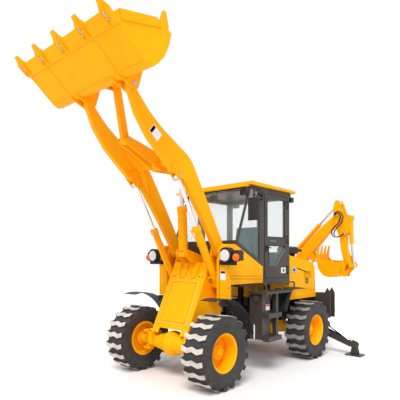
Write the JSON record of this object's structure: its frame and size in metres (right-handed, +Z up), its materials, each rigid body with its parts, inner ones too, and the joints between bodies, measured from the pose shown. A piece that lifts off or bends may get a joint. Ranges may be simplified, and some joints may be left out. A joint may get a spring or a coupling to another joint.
{
  "type": "backhoe loader",
  "caption": "Wheeled construction machine with a front loader bucket on lift arms, a closed cab and a side-shifting digging arm with two stabiliser legs at the rear.",
  "frame": {"origin": "on the ground under the middle of the whole machine's box at rest", "axes": "+X forward, +Y to the machine's left, +Z up"},
  "size_m": [6.3578, 3.2, 4.8723],
  "materials": {
    "yellow_paint": "gloss machine yellow",
    "dark_paint": "satin dark grey-brown",
    "black_paint": "satin black",
    "tyre_rubber": "dusty tread",
    "rod_chrome": "polished",
    "cab_glass": "faint blue tint",
    "lamp_lens": "clear",
    "black_plastic": "moulded",
    "seat_cloth": "woven",
    "engine_iron": "painted casting"
  },
  "bodies": {
    "chassis": {"chassis_frame": "dark_paint", "loader_tower": "yellow_paint", "front_axle": "yellow_paint", "rear_axle": "yellow_paint", "fenders": "black_plastic", "engine_block": "engine_iron", "engine_hood": "yellow_paint", "muffler": "black_paint", "cab_frame": "dark_paint", "cab_glass": "cab_glass", "cab_roof": "yellow_paint", "operator_seat": "seat_cloth", "control_console": "black_plastic", "side_cowls": "yellow_paint", "headlamps": "black_plastic", "mirrors": "black_plastic", "side_steps": "dark_paint", "fuel_tank": "dark_paint", "stabilizer_frame": "dark_paint", "tie_down_eyes": "dark_paint"},
    "wheel_front_left": {"tyre_front_left": "tyre_rubber", "rim_front_left": "yellow_paint"},
    "wheel_front_right": {"tyre_front_right": "tyre_rubber", "rim_front_right": "yellow_paint"},
    "wheel_rear_left": {"tyre_rear_left": "tyre_rubber", "rim_rear_left": "yellow_paint"},
    "wheel_rear_right": {"tyre_rear_right": "tyre_rubber", "rim_rear_right": "yellow_paint"},
    "knuckle_left": {"knuckle_left": "yellow_paint"},
    "knuckle_right": {"knuckle_right": "yellow_paint"},
    "door": {"cab_door": "dark_paint", "door_glass": "cab_glass"},
    "loader_arms": {"loader_arms": "yellow_paint"},
    "lift_barrels": {"lift_barrels": "yellow_paint"},
    "lift_rods": {"lift_rods": "rod_chrome"},
    "tilt_barrel": {"tilt_barrel": "yellow_paint"},
    "tilt_rod": {"tilt_rod": "rod_chrome"},
    "bellcrank": {"bellcrank": "yellow_paint"},
    "bucket_link": {"bucket_link": "yellow_paint"},
    "loader_bucket": {"loader_bucket": "yellow_paint"},
    "shift_carriage": {"shift_carriage": "dark_paint"},
    "king_post": {"king_post": "yellow_paint"},
    "hoe_boom": {"hoe_boom": "yellow_paint"},
    "boom_barrel": {"boom_barrel": "yellow_paint"},
    "boom_rod": {"boom_rod": "rod_chrome"},
    "dipper": {"dipper": "yellow_paint"},
    "dipper_barrel": {"dipper_barrel": "yellow_paint"},
    "dipper_rod": {"dipper_rod": "rod_chrome"},
    "hoe_bucket": {"hoe_bucket": "yellow_paint"},
    "curl_lever": {"curl_lever": "yellow_paint"},
    "curl_link": {"curl_link": "yellow_paint"},
    "curl_barrel": {"curl_barrel": "yellow_paint"},
    "curl_rod": {"curl_rod": "rod_chrome"},
    "leg_left": {"leg_left": "dark_paint"},
    "leg_barrel_left": {"leg_barrel_left": "dark_paint"},
    "leg_rod_left": {"leg_rod_left": "rod_chrome"},
    "leg_right": {"leg_right": "dark_paint"},
    "leg_barrel_right": {"leg_barrel_right": "dark_paint"},
    "leg_rod_right": {"leg_rod_right": "rod_chrome"}
  },
  "joints": [
    {"name": "wheel_front_left_spin", "type": "hinge", "parent": "knuckle_left", "child": "wheel_front_left", "pos_m": [1.058, 0.86, 0.5347], "axis": [0, 1, 0], "continuous": true},
    {"name": "wheel_front_right_spin", "type": "hinge", "parent": "knuckle_right", "child": "wheel_front_right", "pos_m": [1.058, -0.86, 0.5347], "axis": [0, 1, 0], "continuous": true},
    {"name": "wheel_rear_left_spin", "type": "hinge", "parent": "chassis", "child": "wheel_rear_left", "pos_m": [-1.692, 0.86, 0.5347], "axis": [0, 1, 0], "continuous": true},
    {"name": "wheel_rear_right_spin", "type": "hinge", "parent": "chassis", "child": "wheel_rear_right", "pos_m": [-1.692, -0.86, 0.5347], "axis": [0, 1, 0], "continuous": true},
    {"name": "steer_left", "type": "hinge", "parent": "chassis", "child": "knuckle_left", "pos_m": [1.058, 0.62, 0.5347], "axis": [0, 0, 1], "range_deg": [-30, 30]},
    {"name": "steer_right", "type": "hinge", "parent": "chassis", "child": "knuckle_right", "pos_m": [1.058, -0.62, 0.5347], "axis": [0, 0, 1], "range_deg": [-30, 30]},
    {"name": "door_hinge", "type": "hinge", "parent": "chassis", "child": "door", "pos_m": [-1.21, 0.716, 1.64], "axis": [0, 0, 1], "range_deg": [0, 85]},
    {"name": "loader_lift", "type": "hinge", "parent": "chassis", "child": "loader_arms", "pos_m": [0.498, 0, 1.98], "axis": [0, 1, 0], "range_deg": [0, 87]},
    {"name": "lift_barrel_swing", "type": "hinge", "parent": "chassis", "child": "lift_barrels", "pos_m": [0.558, 0, 1.46], "axis": [0, 1, 0], "range_deg": [0, 81.16]},
    {"name": "lift_rod_slide", "type": "slide", "parent": "lift_barrels", "child": "lift_rods", "axis": [0.4884, 0, 0.8726], "range_m": [-0.70518, 0]},
    {"name": "tilt_barrel_swing", "type": "hinge", "parent": "chassis", "child": "tilt_barrel", "pos_m": [0.835, 0, 1.952], "axis": [0, 1, 0], "range_deg": [0, 104.36]},
    {"name": "tilt_rod_slide", "type": "slide", "parent": "tilt_barrel", "child": "tilt_rod", "axis": [0.0477, 0, 0.9989], "range_m": [-0.38924, 0]},
    {"name": "bucket_tilt", "type": "hinge", "parent": "loader_arms", "child": "loader_bucket", "pos_m": [2.308, 0, 4.1], "axis": [0, -1, 0], "range_deg": [-80, 50]},
    {"name": "bellcrank_swing", "type": "hinge", "parent": "loader_arms", "child": "bellcrank", "pos_m": [1.388, 0, 3.31], "axis": [0, -1, 0], "range_deg": [-10.85, 16.75]},
    {"name": "bucket_link_swing", "type": "hinge", "parent": "loader_bucket", "child": "bucket_link", "pos_m": [2.178, 0, 4.27], "axis": [0, -1, 0], "range_deg": [-36.5, 57.8]},
    {"name": "side_shift", "type": "slide", "parent": "chassis", "child": "shift_carriage", "axis": [0, 1, 0], "range_m": [0, 1.1]},
    {"name": "hoe_swing", "type": "hinge", "parent": "shift_carriage", "child": "king_post", "pos_m": [-2.912, -0.6, 0.83], "axis": [0, 0, 1], "range_deg": [0, 180]},
    {"name": "boom_lift", "type": "hinge", "parent": "king_post", "child": "hoe_boom", "pos_m": [-2.912, -0.42, 1.1], "axis": [1, 0, 0], "range_deg": [-75, 25]},
    {"name": "boom_barrel_swing", "type": "hinge", "parent": "king_post", "child": "boom_barrel", "pos_m": [-2.912, -0.33, 0.762], "axis": [1, 0, 0], "range_deg": [-68.83, 23.61]},
    {"name": "boom_rod_slide", "type": "slide", "parent": "boom_barrel", "child": "boom_rod", "axis": [0, 0.5492, 0.8357], "range_m": [-0.41871, 0.1429]},
    {"name": "dipper_swing", "type": "hinge", "parent": "hoe_boom", "child": "dipper", "pos_m": [-2.912, 0.925, 2.73], "axis": [1, 0, 0], "range_deg": [-5, 90]},
    {"name": "dipper_barrel_swing", "type": "hinge", "parent": "hoe_boom", "child": "dipper_barrel", "pos_m": [-2.912, -0.04, 2.06], "axis": [1, 0, 0], "range_deg": [-1.21, 4.79]},
    {"name": "dipper_rod_slide", "type": "slide", "parent": "dipper_barrel", "child": "dipper_rod", "axis": [0, 0.7071, 0.7071], "range_m": [-0.43001, 0.02861]},
    {"name": "hoe_bucket_curl", "type": "hinge", "parent": "dipper", "child": "hoe_bucket", "pos_m": [-2.912, 1.12, 1.8], "axis": [1, 0, 0], "range_deg": [0, 125]},
    {"name": "curl_lever_swing", "type": "hinge", "parent": "dipper", "child": "curl_lever", "pos_m": [-2.912, 1.11, 1.91], "axis": [1, 0, 0], "range_deg": [0, 112.71]},
    {"name": "curl_link_swing", "type": "hinge", "parent": "hoe_bucket", "child": "curl_link", "pos_m": [-2.912, 1.08, 1.545], "axis": [1, 0, 0], "range_deg": [-47.38, 0]},
    {"name": "curl_barrel_swing", "type": "hinge", "parent": "dipper", "child": "curl_barrel", "pos_m": [-2.912, 1.165, 2.72], "axis": [1, 0, 0], "range_deg": [0, 6.28]},
    {"name": "curl_rod_slide", "type": "slide", "parent": "curl_barrel", "child": "curl_rod", "axis": [0, 0.0755, -0.9971], "range_m": [-0.35641, 0]},
    {"name": "leg_left_raise", "type": "hinge", "parent": "chassis", "child": "leg_left", "pos_m": [-2.452, 0.42, 0.55], "axis": [1, 0, 0], "range_deg": [0, 75]},
    {"name": "leg_barrel_left_swing", "type": "hinge", "parent": "chassis", "child": "leg_barrel_left", "pos_m": [-2.452, 0.33, 0.9], "axis": [1, 0, 0], "range_deg": [0, 68.21]},
    {"name": "leg_rod_left_slide", "type": "slide", "parent": "leg_barrel_left", "child": "leg_rod_left", "axis": [0, 0.8501, -0.5266], "range_m": [-0.4256, 0]},
    {"name": "leg_right_raise", "type": "hinge", "parent": "chassis", "child": "leg_right", "pos_m": [-2.452, -0.42, 0.55], "axis": [-1, 0, 0], "range_deg": [0, 75]},
    {"name": "leg_barrel_right_swing", "type": "hinge", "parent": "chassis", "child": "leg_barrel_right", "pos_m": [-2.452, -0.33, 0.9], "axis": [-1, 0, 0], "range_deg": [0, 68.21]},
    {"name": "leg_rod_right_slide", "type": "slide", "parent": "leg_barrel_right", "child": "leg_rod_right", "axis": [0, -0.8501, -0.5266], "range_m": [-0.4256, 0]}
  ],
  "couplings": [
    {"joint": "steer_right", "follows": "steer_left", "ratio": 1},
    {"joint": "lift_barrel_swing", "follows": "loader_lift", "ratio": 0.92142},
    {"joint": "lift_rod_slide", "follows": "loader_lift", "m_per_rad": -0.46112},
    {"joint": "tilt_barrel_swing", "follows": "loader_lift", "ratio": 1.188},
    {"joint": "tilt_rod_slide", "follows": "loader_lift", "m_per_rad": -0.25305},
    {"joint": "bellcrank_swing", "follows": "bucket_tilt", "ratio": -0.19694},
    {"joint": "bucket_link_swing", "follows": "bucket_tilt", "ratio": -0.71},
    {"joint": "boom_barrel_swing", "follows": "boom_lift", "ratio": 0.90436},
    {"joint": "boom_rod_slide", "follows": "boom_lift", "m_per_rad": 0.31605},
    {"joint": "dipper_barrel_swing", "follows": "dipper_swing", "ratio": 0.042105},
    {"joint": "dipper_rod_slide", "follows": "dipper_swing", "m_per_rad": -0.27057},
    {"joint": "curl_lever_swing", "follows": "hoe_bucket_curl", "ratio": 0.89371},
    {"joint": "curl_link_swing", "follows": "hoe_bucket_curl", "ratio": -0.37103},
    {"joint": "curl_barrel_swing", "follows": "hoe_bucket_curl", "ratio": 0.042235},
    {"joint": "curl_rod_slide", "follows": "hoe_bucket_curl", "m_per_rad": -0.16107},
    {"joint": "leg_barrel_left_swing", "follows": "leg_left_raise", "ratio": 0.89609},
    {"joint": "leg_rod_left_slide", "follows": "leg_left_raise", "m_per_rad": -0.32131},
    {"joint": "leg_barrel_right_swing", "follows": "leg_right_raise", "ratio": 0.89609},
    {"joint": "leg_rod_right_slide", "follows": "leg_right_raise", "m_per_rad": -0.32131}
  ]
}
